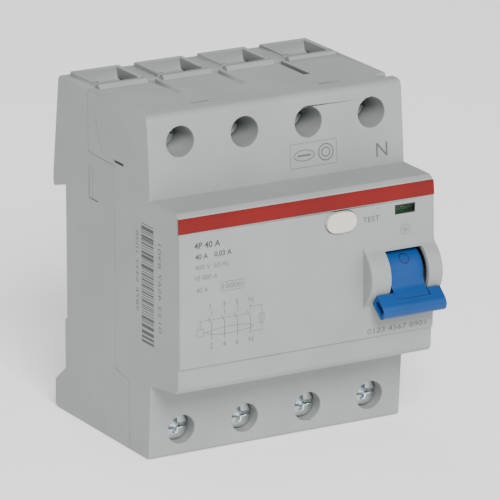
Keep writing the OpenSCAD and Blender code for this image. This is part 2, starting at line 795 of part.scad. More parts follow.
// sixteen-turn sense winding drawn as flat bands on the core
module toroid_winding() {
    bands = 16;
    gap = 0.1;
    t = 0.5;
    color([0.75, 0.4, 0.2])
        for (i = [0 : bands - 1])
            translate([toroid[0], toroid[1], toroid[2]])
                rotate([0, i * 360 / bands, 0])
                    difference() {
                        box([toroid_hole_r - gap - t, toroid_r + gap + t],
                            [-toroid_len / 2 - gap - t, toroid_len / 2 + gap + t], [-0.35, 0.35]);
                        box([toroid_hole_r - gap, toroid_r + gap],
                            [-toroid_len / 2 - gap, toroid_len / 2 + gap], [-1, 1]);
                    }
}

// one wire from each moving contact, through the core and down to the lower bar
module primary_wires() {
    color([0.15, 0.15, 0.16])
        for (i = [1 : poles]) {
            x = pole_x[i - 1];
            side = i - 2.5;
            hole = toroid[0] + 2.8 * side;
            top = -4.2 - 2.5 * i;
            under = -14.6;
            front = -54.8;
            tube([
                [x, -24.4, top + 0.6], [x, -26.6, top],
                [x * 0.6 + hole * 0.4, -29.5, top + 0.3], [x * 0.2 + hole * 0.8, -33, top * 0.5],
                [hole, -36, toroid[2] - 0.4 * i], [hole, -40, toroid[2]], [hole, -52, toroid[2]],
                [hole, -54.2, toroid[2] - 0.7], [hole, front, toroid[2] - 3], [hole, front, under + 4],
                [hole, -54, under + 1.2], [hole, -51.5, under], [hole, -41, under],
                [x * 0.2 + hole * 0.8, -37, -15.3], [x * 0.7 + hole * 0.3, -31.5, -16.3],
                [x, -28.5, -16.6], [x, -25.1, -16.6]
            ], 1.1, 8);
        }
}

module relay_yoke() {
    color([0.62, 0.62, 0.65])
        difference() {
            box([3.5, 16.5], [-51, -40.5], [-18, -10]);
            box([5, 15], [-52, -40], [-16.5, -11.2]);
            rod_z(10, -45.8, [-12, -9], 1.35);
        }
}

module relay_coil() {
    color([0.7, 0.4, 0.2])
        difference() {
            box([5.2, 14.8], [-50.6, -41], [-16.4, -11.3]);
            rod_z(10, -45.8, [-17, -10], 1.45);
        }
}

module relay_armature() {
    color([0.8, 0.8, 0.8])
        rod_z(10, -45.8, [-16, -9], 1.3);
}

// ---------- test circuit ----------

module test_button() {
    back = front_y + wall + 0.1;
    color([0.83, 0.82, 0.78]) {
        oval_y(button_x, [front_y - 0.8, back + eps], button_z, button_w, button_h);
        oval_y(button_x, [back, back + 1.2], button_z, button_w + 1.8, button_h + 1.6);
        rod_y(button_x, [back + 1.2 - eps, -49], button_z, 1.5);
    }
}

board_y = [-46.6, -45];

module test_spring() {
    start = front_y + wall + 1.3 + 0.05;
    color([0.7, 0.7, 0.68])
        translate([button_x, start, button_z])
            rotate([-90, 0, 0])
                coil(2.2, 0.25, 6, board_y[0] - start - 0.05);
}

module test_contact() {
    color([0.72, 0.45, 0.25]) {
        rod_y(button_x, [board_y[0] - 0.8, board_y[0]], button_z, 1.3);
        rod_y(button_x, [board_y[0] - eps, board_y[1] + eps], button_z, 0.6);
        box([button_x - 0.8, button_x + 0.8], [board_y[1], board_y[1] + 0.5], [9, button_z + 1]);
    }
}

module circuit_board() {
    color([0.2, 0.42, 0.25])
        difference() {
            box([3, 15], board_y, [6, 23]);
            rod_y(button_x, [board_y[0] - 1, board_y[1] + 1], button_z, 0.6);
        }
}

module test_resistor() {
    z = 14;
    color([0.75, 0.65, 0.45])
        rod_z(12.5, board_y[1] + 1.5, [z - 3, z + 3], 1.2);
    color([0.8, 0.8, 0.8])
        for (s = [-1, 1]) {
            rod_z(12.5, board_y[1] + 1.5, s > 0 ? [z + 3 - eps, z + 5] : [z - 5, z - 3 + eps], 0.3);
            rod_y(12.5, [board_y[1], board_y[1] + 1.5 + 0.3], z + s * 4.7, 0.3);
        }
}

// ---------- rail clips ----------

module din_clip(x) {
    color([0.25, 0.25, 0.26])
        difference() {
            union() {
                box([x - clip_half, x + clip_half], [-2.8, -0.8], [bottom_z + 0.5, -17.8]);
                box([x - clip_half, x + clip_half], [-0.8 - eps, 3.4], [-21.4, -17.8]);
                prism_x([x - clip_half, x + clip_half], [
                    [1.25, -17.8 - eps], [1.25, -16.3], [2.2, -16.3], [3.4, -17.2], [3.4, -17.8 - eps]
                ]);
                box([x - clip_half, x + clip_half], [-0.8 - eps, 4.8], [bottom_z + 0.5, -37.2]);
            }
            // window for the spring and its stop
            box([x - 1.8, x + 1.8], [-3, 0], [-36, -24]);
            // slot for the screwdriver that pulls the clip down
            box([x - 2, x + 2], [1.4, 3], [bottom_z - 1, -36]);
        }
}

module clip_spring(x) {
    color([0.7, 0.7, 0.68])
        translate([x, -1.35, -34 + 0.05])
            coil(1.25, 0.25, 5, 9.9);
}

// ---------- assembly ----------

base_housing();
front_cover();
front_stripe();
indicator_window();
toggle_lever();
toggle_pin();
toggle_spring();
link_rod();
frame_plate(frame_x[0]);  // frame_left
frame_plate(frame_x[1]);  // frame_right
frame_pins();
latch_lever();
trip_lever();
indicator_flag();
contact_carrier();
for (i = [1 : poles]) {
    moving_contact(i);
    upper_bar(i);
    lower_bar(i);
    place_upper(i) terminal_cage();
    place_lower(i) terminal_cage();
    place_upper(i) terminal_screw();
    place_lower(i) terminal_screw();
}
arc_plates();
toroid_core();
toroid_winding();
primary_wires();
relay_yoke();
relay_coil();
relay_armature();
test_button();
test_spring();
test_contact();
test_resistor();
circuit_board();
din_clip(-clip_x);  // din_clip_left
din_clip(clip_x);  // din_clip_right
clip_spring(-clip_x);  // clip_spring_left
clip_spring(clip_x);  // clip_spring_right
housing_screws();
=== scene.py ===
# A four-module residual current device, 70 mm wide, as it stands on a table.
# Units are metres; MM turns millimetres into them. +X is right, -Y the front, +Z up.
import bmesh
import bpy
import math
import random
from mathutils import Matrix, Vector


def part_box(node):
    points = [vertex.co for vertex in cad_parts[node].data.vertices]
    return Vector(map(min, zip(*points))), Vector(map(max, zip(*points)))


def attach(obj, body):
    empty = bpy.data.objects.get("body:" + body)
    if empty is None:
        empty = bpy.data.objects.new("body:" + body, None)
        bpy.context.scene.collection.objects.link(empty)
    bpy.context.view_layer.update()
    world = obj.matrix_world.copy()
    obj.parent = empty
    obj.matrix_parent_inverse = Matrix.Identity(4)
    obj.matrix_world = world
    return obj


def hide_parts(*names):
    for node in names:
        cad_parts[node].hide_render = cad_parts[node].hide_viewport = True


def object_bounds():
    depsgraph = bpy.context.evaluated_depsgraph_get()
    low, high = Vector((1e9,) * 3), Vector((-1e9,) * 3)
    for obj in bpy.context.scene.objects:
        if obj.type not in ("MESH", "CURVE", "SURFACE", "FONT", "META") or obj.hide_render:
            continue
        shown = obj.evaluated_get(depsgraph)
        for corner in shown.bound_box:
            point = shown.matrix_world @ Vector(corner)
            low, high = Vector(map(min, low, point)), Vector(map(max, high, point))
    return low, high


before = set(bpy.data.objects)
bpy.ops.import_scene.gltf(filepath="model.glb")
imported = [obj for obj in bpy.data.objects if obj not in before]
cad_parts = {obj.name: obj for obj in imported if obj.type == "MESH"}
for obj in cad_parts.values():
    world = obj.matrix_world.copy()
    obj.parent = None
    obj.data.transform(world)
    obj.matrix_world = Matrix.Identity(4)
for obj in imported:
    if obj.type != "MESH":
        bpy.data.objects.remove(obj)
MM = 0.001
cad_box = [list(corner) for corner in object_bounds()]

# ---------------------------------------------------------------- camera and stage
# A long lens a little over a metre away, to the left and above, and a pale studio sweep.
low, high = (Vector(corner) for corner in cad_box)
centre = (low + high) / 2
VIEW_LEFT = math.radians(29.76)
VIEW_UP = math.radians(16.77)
VIEW_DISTANCE = 1.2653
VIEW_RAISE = 0.87 * MM
LENS = 376.7
SENSOR = 36.0

to_camera = Vector((-math.cos(VIEW_UP) * math.sin(VIEW_LEFT),
                    -math.cos(VIEW_UP) * math.cos(VIEW_LEFT),
                    math.sin(VIEW_UP)))
turned = to_camera.to_track_quat("Z", "Y")
aim = centre + turned @ Vector((0, VIEW_RAISE, 0))
bpy.ops.object.camera_add(location=aim + to_camera * VIEW_DISTANCE, rotation=turned.to_euler())
camera = bpy.context.object
camera.data.lens = LENS
camera.data.sensor_width = SENSOR
camera.data.clip_start = 0.05
bpy.context.scene.camera = camera


def linear(hex_colour):
    """sRGB hex as a linear colour with alpha 1."""
    parts = [int(hex_colour[i:i + 2], 16) / 255 for i in (1, 3, 5)]
    return tuple(p / 12.92 if p <= 0.04045 else ((p + 0.055) / 1.055) ** 2.4 for p in parts) + (1.0,)


def node(tree, kind, inputs=(), **settings):
    """Adds a node; an input is a value, or a (node, output) pair that is linked."""
    made = tree.nodes.new(kind)
    for name, value in settings.items():
        setattr(made, name, value)
    for name, value in dict(inputs).items():
        if isinstance(value, tuple) and isinstance(value[0], bpy.types.Node):
            tree.links.new(value[0].outputs[value[1]], made.inputs[name])
        else:
            made.inputs[name].default_value = value
    return made


def new_material(name):
    """An empty material and its tree, shader and object coordinates."""
    material = bpy.data.materials.new(name)
    material.use_nodes = True
    tree = material.node_tree
    shader = tree.nodes["Principled BSDF"]
    place = node(tree, "ShaderNodeTexCoord")
    return material, tree, shader, place


def link(tree, start, output, end, socket):
    tree.links.new(start.outputs[output], end.inputs[socket])


# Matt white acrylic sheet, lit faintly from below, that runs on under and behind the device.
table, tree, shader, place = new_material("white light table")
fibre = node(tree, "ShaderNodeTexNoise", {"Vector": (place, "Object"), "Scale": 900.0, "Detail": 3.0})
tone = node(tree, "ShaderNodeValToRGB", {"Fac": (fibre, "Fac")})
tone.color_ramp.elements[0].color = linear("#F6F6F6")
tone.color_ramp.elements[1].color = linear("#FCFCFC")
link(tree, tone, "Color", shader, "Base Color")
shader.inputs["Roughness"].default_value = 0.9
shader.inputs["Emission Color"].default_value = (1, 1, 1, 1)
shader.inputs["Emission Strength"].default_value = 0.3

bpy.ops.object.select_all(action="DESELECT")
bpy.ops.mesh.primitive_plane_add(size=6, location=(0, 0, low.z - 0.0002))
floor = bpy.context.object
floor.name = "studio_floor"
floor.data.materials.append(table)

world = bpy.data.worlds.new("pale studio")
bpy.context.scene.world = world
world.use_nodes = True
world.node_tree.nodes["Background"].inputs["Color"].default_value = (1, 1, 1, 1)
world.node_tree.nodes["Background"].inputs["Strength"].default_value = 0.5


def soft_light(name, place, size, power):
    """A square soft box that faces the device."""
    facing = (Vector(place) - centre).to_track_quat("Z", "Y")
    bpy.ops.object.light_add(type="AREA", location=place, rotation=facing.to_euler())
    light = bpy.context.object
    light.name = name
    light.data.size = size
    light.data.energy = power


soft_light("key_box", (-0.35, -1.15, 0.85), 0.55, 31)
soft_light("fill_box", (1.0, -0.9, 0.4), 0.8, 4)
soft_light("back_box", (0.0, 1.1, 0.9), 0.9, 6)

# ---------------------------------------------------------------- base housing and its moulded grey
# The rear shell with the rail seat and the terminal chambers, moulded in light grey
# glass-filled polyamide. The spark-eroded mould leaves a fine, even, silky grain.
GRAIN = 0.35 * MM
MOULD_EDGE = 0.3
SEAM_EDGE = 0.2
half_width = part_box("base_housing")[1].x
COLLAR_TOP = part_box("base_housing")[1].z / MM - 0.1


def moulded(name, colour, shade, roughness, grain=GRAIN, relief=0.01 * MM):
    """A moulded plastic: two close tones in soft clouds, and a grain that breaks up the shine."""
    material, tree, shader, place = new_material(name)
    cloud = node(tree, "ShaderNodeTexNoise",
                 {"Vector": (place, "Object"), "Scale": 1 / (14 * MM), "Detail": 3.0})
    tone = node(tree, "ShaderNodeValToRGB", {"Fac": (cloud, "Fac")})
    tone.color_ramp.elements[0].position = 0.35
    tone.color_ramp.elements[0].color = linear(shade)
    tone.color_ramp.elements[1].position = 0.65
    tone.color_ramp.elements[1].color = linear(colour)
    link(tree, tone, "Color", shader, "Base Color")
    pits = node(tree, "ShaderNodeTexNoise",
                {"Vector": (place, "Object"), "Scale": 1 / grain, "Detail": 4.0})
    shine = node(tree, "ShaderNodeMapRange",
                 {"Value": (pits, "Fac"), "To Min": roughness - 0.06, "To Max": roughness + 0.06})
    link(tree, shine, "Result", shader, "Roughness")
    bump = node(tree, "ShaderNodeBump",
                {"Height": (pits, "Fac"), "Strength": 0.4, "Distance": relief})
    link(tree, bump, "Normal", shader, "Normal")
    return material


def merged_copy(name, piece_name, body, whole_faces=True):
    """A copy of a CAD node with its doubles merged and its flat faces whole; it stands for that node."""
    piece = bpy.data.objects.new(piece_name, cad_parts[name].data.copy())
    bpy.context.collection.objects.link(piece)
    bpy.ops.object.select_all(action="DESELECT")
    piece.select_set(True)
    bpy.context.view_layer.objects.active = piece
    bpy.ops.object.mode_set(mode="EDIT")
    bpy.ops.mesh.select_all(action="SELECT")
    bpy.ops.mesh.remove_doubles(threshold=0.001 * MM)
    if whole_faces:
        bpy.ops.mesh.dissolve_limited(angle_limit=math.radians(0.2))
    bpy.ops.object.mode_set(mode="OBJECT")
    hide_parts(name)
    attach(piece, body)
    return piece


def round_edges(piece, width_of, segments=2):
    """Bevels every sharp edge by the width in millimetres that width_of(middle, along, edge) gives."""
    shape = bmesh.new()
    shape.from_mesh(piece.data)
    weight = shape.edges.layers.float.new("bevel_weight_edge")
    for edge in shape.edges:
        if len(edge.link_faces) == 2 and edge.calc_face_angle(0) > math.radians(14):
            start, end = (corner.co for corner in edge.verts)
            edge[weight] = width_of((start + end) / 2 / MM, (end - start).normalized(), edge)
    shape.to_mesh(piece.data)
    shape.free()
    bevel = piece.modifiers.new("rounded edges", "BEVEL")
    bevel.limit_method = "WEIGHT"
    bevel.width = MM
    bevel.segments = segments
    bevel.use_clamp_overlap = False
    bevel.face_strength_mode = "FSTR_ALL"
    bpy.context.view_layer.objects.active = piece
    bpy.ops.object.modifier_apply(modifier=bevel.name)
    bpy.ops.object.select_all(action="DESELECT")
    piece.select_set(True)
    bpy.ops.object.shade_smooth_by_angle(angle=math.radians(35))
    flat = piece.modifiers.new("flat faces stay flat", "WEIGHTED_NORMAL")
    flat.keep_sharp = True
    flat.use_face_influence = True
    bpy.ops.object.modifier_apply(modifier=flat.name)


def finish_as(piece, material):
    """Gives a piece its one material."""
    piece.data.materials.clear()
    piece.data.materials.append(material)


def crosses(edge, x):
    """True for an edge in the end plane x between that end and a wall that runs away from it."""
    if any(abs(corner.co.x - x) > 0.002 * MM for corner in edge.verts):
        return False
    for face in edge.link_faces:
        spread = [abs(corner.co.x - x) for corner in face.verts]
        if max(spread) > 1 * MM:
            return True
    return False


BASE_SEAM_Y = -12.9
COLLAR_EDGE = 0.2
FULL_WIDTH = 60


def base_edge(middle, along, edge):
    """Widths on the base: the outline at both ends, the collars and the edges along the rail."""
    if crosses(edge, half_width) or crosses(edge, -half_width):
        return SEAM_EDGE if middle.y < BASE_SEAM_Y else MOULD_EDGE
    if middle.z > COLLAR_TOP and abs(along.z) < 0.5:
        return COLLAR_EDGE
    if abs(along.x) > 0.99 and edge.calc_length() > FULL_WIDTH * MM and middle.y > BASE_SEAM_Y:
        return MOULD_EDGE
    return 0


# Silky and light, a touch warmer where it is thick; edges catch a thin highlight.
housing_grey = moulded("light grey glass-filled polyamide, moulded", "#8B8F8D", "#868A88", 0.5)

base = merged_copy("base_housing", "base_shell", "housing", whole_faces=False)
round_edges(base, base_edge)
finish_as(base, housing_grey)

# ---------------------------------------------------------------- terminals
# In each pole a cage nut rises on its screw and clamps the wire against a copper bar.
# Cage and screw are zinc-plated steel, blank and rolled; the bars are stamped copper.


def worked_metal(name, colour, shade, roughness, streak=0.08 * MM, run=3 * MM, metallic=1.0):
    """Bare or plated metal: fine streaks of the given width and length along X, as the tool left them."""
    material, tree, shader, place = new_material(name)
    stretch = node(tree, "ShaderNodeMapping",
                   {"Vector": (place, "Object"), "Scale": (1 / run, 1 / streak, 1 / streak)})
    streaks = node(tree, "ShaderNodeTexNoise",
                   {"Vector": (stretch, "Vector"), "Scale": 1.0, "Detail": 3.0})
    shine = node(tree, "ShaderNodeMapRange",
                 {"Value": (streaks, "Fac"), "To Min": roughness - 0.1, "To Max": roughness + 0.12})
    link(tree, shine, "Result", shader, "Roughness")
    tone = node(tree, "ShaderNodeValToRGB", {"Fac": (streaks, "Fac")})
    tone.color_ramp.elements[0].color = linear(shade)
    tone.color_ramp.elements[1].color = linear(colour)
    link(tree, tone, "Color", shader, "Base Color")
    bump = node(tree, "ShaderNodeBump",
                {"Height": (streaks, "Fac"), "Strength": 0.2, "Distance": 0.01 * MM})
    link(tree, bump, "Normal", shader, "Normal")
    shader.inputs["Metallic"].default_value = metallic
    return material


def show_node(name, material):
    """Gives a CAD node that is shown as it is its finish."""
    for material_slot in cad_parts[name].material_slots:
        material_slot.material = material


# Bright but slightly blue and milky, with short polishing streaks.
zinc = worked_metal("blue passivated zinc plating", "#C6CDCF", "#A3AAAD", 0.34)
# Pink-brown and warm, with long streaks from the rolled strip.
copper = worked_metal("stamped copper strip", "#C98A5E", "#B37448", 0.32, run=6 * MM)

SCREW_EDGE = 0.2


def screw_edge(middle, along, edge):
    """Widths on a terminal screw: the rim and the mouth of the drive cut."""
    return SCREW_EDGE if middle.y < screw_face / MM + 0.05 else 0


for row in ("upper", "lower"):
    for pole in range(1, 5):
        name = f"screw_{row}_{pole}"
        screw_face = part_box(name)[0].y
        screw = merged_copy(name, f"terminal_screw_{row}_{pole}", f"screw_{row}_{pole}_body")
        round_edges(screw, screw_edge)
        finish_as(screw, zinc)
        show_node(f"cage_{row}_{pole}", zinc)
        show_node(f"{row}_bar_{pole}", copper)

# ---------------------------------------------------------------- contacts and arc plates
# A black polyamide carrier swings four copper contacts; thin steel plates beside them
# split the arc. The carrier is glass-filled and dry, the plates are bright rolled steel.

# Almost black, dry and slightly grainy.
inner_black = moulded("black glass-filled polyamide, moulded", "#2A2B2C", "#212223", 0.52)
# Clean grey with an even, fine rolling grain.
bare_steel = worked_metal("bright rolled steel sheet", "#A8AAAC", "#8F9193", 0.36, run=8 * MM)

show_node("contact_carrier", inner_black)
show_node("arc_plates", bare_steel)
for pole in range(1, 5):
    show_node(f"moving_contact_{pole}", copper)

# ---------------------------------------------------------------- sensor and relay
# A ring core wound with enamelled copper senses the difference of the currents that pass
# through it in insulated leads, and fires a small relay with a steel yoke and plunger.

# Blue-grey baked epoxy, smooth with a faint orange-peel waviness.
core_coat = moulded("blue-grey epoxy powder coat", "#545868", "#4A4E5D", 0.38, grain=0.8 * MM)
# Darker and redder than bare copper, and glossy from the enamel.
winding = worked_metal("enamelled copper wire", "#B4683A", "#94502A", 0.26, streak=0.3 * MM, run=0.3 * MM)
# Soft black PVC with a low sheen.
lead_black = moulded("black PVC lead insulation", "#232324", "#1C1C1D", 0.46, grain=0.6 * MM)

show_node("toroid_core", core_coat)
show_node("toroid_winding", winding)
show_node("relay_coil", winding)
show_node("primary_wires", lead_black)
show_node("relay_yoke", bare_steel)
show_node("relay_armature", bare_steel)

# ---------------------------------------------------------------- switching mechanism
# Two zinc-plated side plates carry the latch and the trip lever on steel pins; a wire
# link joins the toggle to the contact carrier, and a torsion spring returns the toggle.

# Dark, smooth and shiny along the wire.
spring_wire = worked_metal("drawn spring steel wire", "#8F9294", "#75787A", 0.3, streak=0.15 * MM)

for name in ("frame_left", "frame_right", "frame_pins", "latch_lever", "toggle_pin", "link_rod",
             "housing_screws"):
    show_node(name, zinc)
show_node("trip_lever", inner_black)
show_node("toggle_spring", spring_wire)

# ---------------------------------------------------------------- test circuit
# A press on the test button closes a copper blade and sends a small current through a
# lacquered resistor on a green epoxy board.

# Glossy dark green lacquer over copper tracks.
solder_mask = moulded("green solder mask", "#1F5A34", "#184A2A", 0.3, grain=1.2 * MM)
# Matt tan lacquer, a little uneven.
resistor_tan = moulded("tan resistor lacquer", "#B8A070", "#A89162", 0.45, grain=0.5 * MM)

show_node("circuit_board", solder_mask)
show_node("test_resistor", resistor_tan)
show_node("test_contact", copper)
show_node("test_spring", spring_wire)

# ---------------------------------------------------------------- front cover
# The front shell, moulded in the same grey and screwed to the base from behind. Its long
# edges are rounded by hand-worked mould corners, and the toggle's cheeks grow out of it.
FRONT_EDGE = 0.35
HOLE_EDGE = 0.3
SLIT_EDGE = 0.15
CHEEK_X = 15.2
CHEEK_EDGE = 0.8
CHEEK_SHARE = 0.25
CHEEK_FOOT_Y = -58.1
PANEL_EDGE = 0.2
cover_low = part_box("front_cover")[0]
screw_x = [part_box(f"screw_upper_{pole}")[0].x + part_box(f"screw_upper_{pole}")[1].x for pole in range(1, 5)]
hole_x = [x / 2 / MM for x in screw_x]
hole_z = [sum(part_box(f"screw_{row}_1")[i].z for i in (0, 1)) / 2 / MM for row in ("upper", "lower")]
HOLE_REACH = 4.0
cheek_middle = Vector((0, -54.8, 1.8))
CHEEK_R = 7.6
CHEEK_RIM_Y = -57.2
# where the rules below hold, in millimetres
INSIDE_Y, SHOULDER_Y, FRONT_FACE_Y = -40, -42.2, -57.3
COVER_SEAM_Y, COVER_SEAM_Z = -33.2, 44.5
SLIT_LENGTH, LINE_LENGTH = 8, 12
PANEL_STEP_Z = (-14, -12.9)


def cover_edge(middle, along, edge):
    """Widths on the cover: outline, hole rims, cheeks, panel step and small front openings."""
    for face in edge.link_faces:
        if max(abs(corner.co.x) for corner in face.verts) < half_width - 2 * MM and middle.y > INSIDE_Y:
            return 0
    if crosses(edge, half_width) or crosses(edge, -half_width):
        seam = middle.y > COVER_SEAM_Y and middle.z < COVER_SEAM_Z
        return SEAM_EDGE if seam else FRONT_EDGE
    if abs(middle.x - CHEEK_X) < 0.05 and middle.y < CHEEK_FOOT_Y + 0.1:
        return max(0, min(CHEEK_EDGE, CHEEK_SHARE * (CHEEK_FOOT_Y - middle.y)))
    from_pivot = Vector((0, middle.y, middle.z)) - cheek_middle
    if middle.x > CHEEK_X and from_pivot.length < CHEEK_R + 0.1 and middle.y < CHEEK_RIM_Y:
        return HOLE_EDGE
    for z in hole_z:
        for x in hole_x:
            if middle.y < SHOULDER_Y and Vector((middle.x - x, middle.z - z)).length < HOLE_REACH:
                return HOLE_EDGE
    if middle.y < FRONT_FACE_Y and abs(along.y) < 0.5 and edge.calc_length() < SLIT_LENGTH * MM:
        return SLIT_EDGE
    if abs(along.x) > 0.99 and edge.calc_length() > LINE_LENGTH * MM and middle.y < INSIDE_Y - 1:
        panel_step = PANEL_STEP_Z[0] < middle.z < PANEL_STEP_Z[1]
        return PANEL_EDGE if panel_step else FRONT_EDGE
    return 0


cover = merged_copy("front_cover", "cover_shell", "housing")
round_edges(cover, cover_edge)
finish_as(cover, housing_grey)

# ---------------------------------------------------------------- red stripe
# A strip of red ABS pressed into its groove across the whole front, just below the
# nose's upper edge; its two long edges are eased.

# Even, warm signal red with a soft sheen.
stripe_red = moulded("signal red ABS, moulded", "#6E0300", "#660200", 0.42, grain=0.5 * MM)
stripe_red.node_tree.nodes["Principled BSDF"].inputs["Specular IOR Level"].default_value = 0.3


STRIPE_EDGE = 0.1
STRIPE_REACH = 5.2


def stripe_edge(middle, along, edge):
    return STRIPE_EDGE if middle.y < cover_low.y / MM + STRIPE_REACH and abs(along.x) > 0.9 else 0


stripe = merged_copy("front_stripe", "red_stripe", "housing")
round_edges(stripe, stripe_edge)
finish_as(stripe, stripe_red)

# ---------------------------------------------------------------- indicator
# A clear polycarbonate window snapped into the cover, with a printed flag behind it:
# green shows while the toggle is down, red slides into view when it is up.
window_low, window_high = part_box("indicator_window")
FLAG_SPLIT = window_low.z - 0.3 * MM

# Matt screen print, with a faint mottle in the ink.
flag_print, tree, shader, place = new_material("flag printed green over red")
height = node(tree, "ShaderNodeSeparateXYZ", {"Vector": (place, "Object")})
is_green = node(tree, "ShaderNodeMath", {0: (height, "Z"), 1: FLAG_SPLIT}, operation="GREATER_THAN")
ink = node(tree, "ShaderNodeMix", {"Factor": (is_green, "Value"), 6: linear("#7A0E08"), 7: linear("#054A12")},
           data_type="RGBA")
mottle = node(tree, "ShaderNodeTexNoise", {"Vector": (place, "Object"), "Scale": 1 / (0.4 * MM)})
matt = node(tree, "ShaderNodeMapRange", {"Value": (mottle, "Fac"), "To Min": 0.5, "To Max": 0.65})
tree.links.new(ink.outputs[2], shader.inputs["Base Color"])
link(tree, matt, "Result", shader, "Roughness")
show_node("indicator_flag", flag_print)

# Clear and glossy with a slight moulding ripple.
clear, tree, shader, place = new_material("clear polycarbonate")
ripple = node(tree, "ShaderNodeTexNoise", {"Vector": (place, "Object"), "Scale": 1 / (2 * MM)})
bump = node(tree, "ShaderNodeBump", {"Height": (ripple, "Fac"), "Strength": 0.1, "Distance": 0.02 * MM})
link(tree, bump, "Normal", shader, "Normal")
shader.inputs["Base Color"].default_value = linear("#E8F2EC")
shader.inputs["Transmission Weight"].default_value = 1.0
shader.inputs["Roughness"].default_value = 0.03
shader.inputs["IOR"].default_value = 1.2


WINDOW_EDGE = 0.15
FACE_REACH = 0.05


def window_edge(middle, along, edge):
    return WINDOW_EDGE if middle.y < window_low.y / MM + FACE_REACH else 0


window = merged_copy("indicator_window", "flag_window", "housing")
round_edges(window, window_edge)
finish_as(window, clear)

# a thin black band lies on the window's rim: painted shade for the window's shaded border
RIM_SHADE_WIDTH = 0.3 * MM
RIM_SHADE_THICK = 0.16 * MM
RIM_SHADE_GAP = 0.01 * MM
# Matt black: painted shade round the window's border.
rim_shade_black = moulded("black band of painted rim shade", "#141515", "#101111", 0.7, grain=0.3 * MM)
bpy.ops.object.select_all(action="DESELECT")
bpy.ops.mesh.primitive_cube_add(size=1)
rim_shade = bpy.context.object
rim_shade.name = "window_rim_painted_shade"
rim_shade.scale = (window_high.x - window_low.x - 2 * RIM_SHADE_GAP, RIM_SHADE_THICK,
              window_high.z - window_low.z - 2 * RIM_SHADE_GAP)
rim_shade.location = ((window_low.x + window_high.x) / 2, window_low.y - RIM_SHADE_THICK / 2 - RIM_SHADE_GAP,
                 (window_low.z + window_high.z) / 2)
bpy.ops.object.transform_apply(location=True, rotation=True, scale=True)
bpy.ops.object.mode_set(mode="EDIT")
bpy.ops.mesh.select_mode(type="FACE")
bpy.ops.mesh.select_all(action="DESELECT")
bpy.ops.object.mode_set(mode="OBJECT")
for face in rim_shade.data.polygons:
    face.select = abs(face.normal.y) > 0.9
bpy.ops.object.mode_set(mode="EDIT")
bpy.ops.mesh.inset(thickness=RIM_SHADE_WIDTH)
bpy.ops.mesh.bridge_edge_loops()
bpy.ops.object.mode_set(mode="OBJECT")
rim_shade.data.materials.append(rim_shade_black)
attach(rim_shade, "housing")

# ---------------------------------------------------------------- toggle
# A blue polyamide lever on a steel pin: a barrel in the cheeks and a wide hollow cross
# bar for the finger. It is moulded in one piece, with soft edges and a carved symbol.
TOGGLE_EDGE = 0.35
BAR_END_EDGE = 0.14
TOGGLE_FRONT_Y = -58
SHORT_EDGE = 0.8

# Clear mid blue with a satin shine.
toggle_blue = moulded("blue polyamide, moulded", "#023F7C", "#023A74", 0.4, grain=0.5 * MM)
toggle_blue.node_tree.nodes["Principled BSDF"].inputs["Specular IOR Level"].default_value = 0.3


def toggle_edge(middle, along, edge):
    if middle.y > TOGGLE_FRONT_Y or edge.calc_length() < SHORT_EDGE * MM:
        return 0
    return TOGGLE_EDGE if abs(along.x) > 0.9 else BAR_END_EDGE


toggle = merged_copy("toggle_lever", "toggle", "toggle")
round_edges(toggle, toggle_edge)
finish_as(toggle, toggle_blue)

# ---------------------------------------------------------------- test button
# An oval ivory button that stands a little proud of the front and springs back; its face
# is slightly crowned and its rim eased.

# Warm off-white with a soft shine.
button_ivory = moulded("ivory polyamide, moulded", "#C5C2B4", "#BFBCAE", 0.38, grain=0.5 * MM)
button_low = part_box("test_button")[0]
BUTTON_EDGE = 0.3


def button_edge(middle, along, edge):
    return BUTTON_EDGE if middle.y < button_low.y / MM + FACE_REACH else 0


button = merged_copy("test_button", "test_button_cap", "button")
round_edges(button, button_edge, segments=3)
finish_as(button, button_ivory)

# ---------------------------------------------------------------- printing
# Markings pad-printed in dark grey ink: ratings, the circuit diagram and pole numbers on the
# front, marks on the upper shoulder, and a bar code on the left side, all in plain generic form.
INK = 0.012 * MM
FRONT_Y = -58.1
PANEL_LOW_Z = -9.7
PANEL_HIGH_Z = 12.0
STRIPE_LOW_Z = 20.0
SHOULDER = ((43.0, -42.5), (24.8, -44.0))

# Semi-matt dark grey ink that lies a little unevenly on the grain.
ink_grey = moulded("dark grey pad printing ink", "#2C2F31", "#3A3D3F", 0.5, grain=0.2 * MM)
ink_faint = moulded("thin grey pad printing ink", "#4A4E50", "#585C5E", 0.55, grain=0.2 * MM)


def front_at(z):
    """Depth of the front face at a height, in millimetres."""
    if z > PANEL_HIGH_Z:
        return FRONT_Y + 0.2 * (z - PANEL_HIGH_Z) / (STRIPE_LOW_Z - PANEL_HIGH_Z)
    if z < PANEL_LOW_Z:
        return FRONT_Y + 0.15 * (PANEL_LOW_Z - z) / 3.6
    return FRONT_Y


def shoulder_at(z):
    """Depth of the upper shoulder's face at a height, in millimetres."""
    (z_high, y_high), (z_low, y_low) = SHOULDER
    return y_low + (y_high - y_low) * (z - z_low) / (z_high - z_low)


def ink_text(words, left, middle, height, width=None, bold=0.0):
    """Words set flat in the XZ plane, left and middle in mm, with capitals of the given height."""
    bpy.ops.object.select_all(action="DESELECT")
    bpy.ops.object.text_add(location=(0, 0, 0))
    text = bpy.context.object
    text.data.body = words
    text.data.extrude = 1.0
    text.data.resolution_u = 3
    text.data.offset = bold
    bpy.ops.object.convert(target="MESH")
    text = bpy.context.object
    low_x, high_x = (pick(v.co.x for v in text.data.vertices) for pick in (min, max))
    low_y, high_y = (pick(v.co.y for v in text.data.vertices) for pick in (min, max))
    tall = height / (high_y - low_y)
    wide = width / (high_x - low_x) if width else tall
    for v in text.data.vertices:
        v.co = Vector((left + (v.co.x - low_x) * wide, -v.co.z * INK / MM,
                       middle + (v.co.y - (low_y + high_y) / 2) * tall)) * MM
    return text


